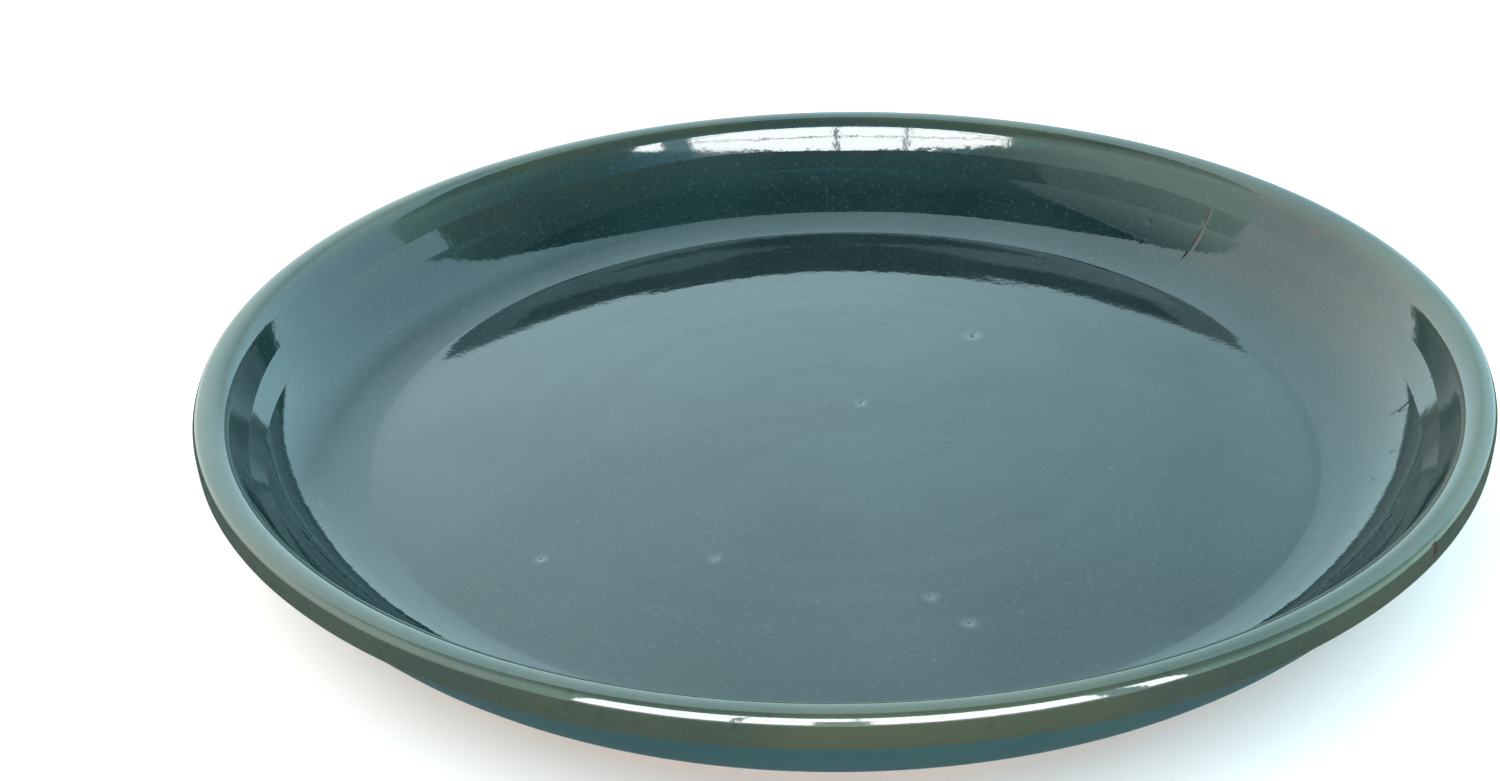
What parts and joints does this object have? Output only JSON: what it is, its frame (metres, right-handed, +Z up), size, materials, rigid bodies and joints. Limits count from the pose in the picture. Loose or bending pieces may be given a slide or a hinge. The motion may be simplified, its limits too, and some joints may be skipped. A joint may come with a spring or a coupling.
{
  "type": "plant saucer",
  "caption": "Round glazed stoneware plant saucer with a thick banded rim, sloping wall and trimmed foot ring, to catch the water under a pot.",
  "frame": {"origin": "middle of the plane that the foot ring stands on", "axes": "+Z up, along the axis that the saucer was thrown on; +X and +Y in the plane of the foot ring"},
  "size_m": [0.3, 0.3, 0.035],
  "materials": {
    "fired_clay": "matt, slightly gritty bare stoneware",
    "glaze": "glossy blue-green glaze that breaks to olive on the rim"
  },
  "bodies": {
    "root": {"clay_body": "fired_clay", "glaze_coat": "glaze"}
  },
  "joints": []
}
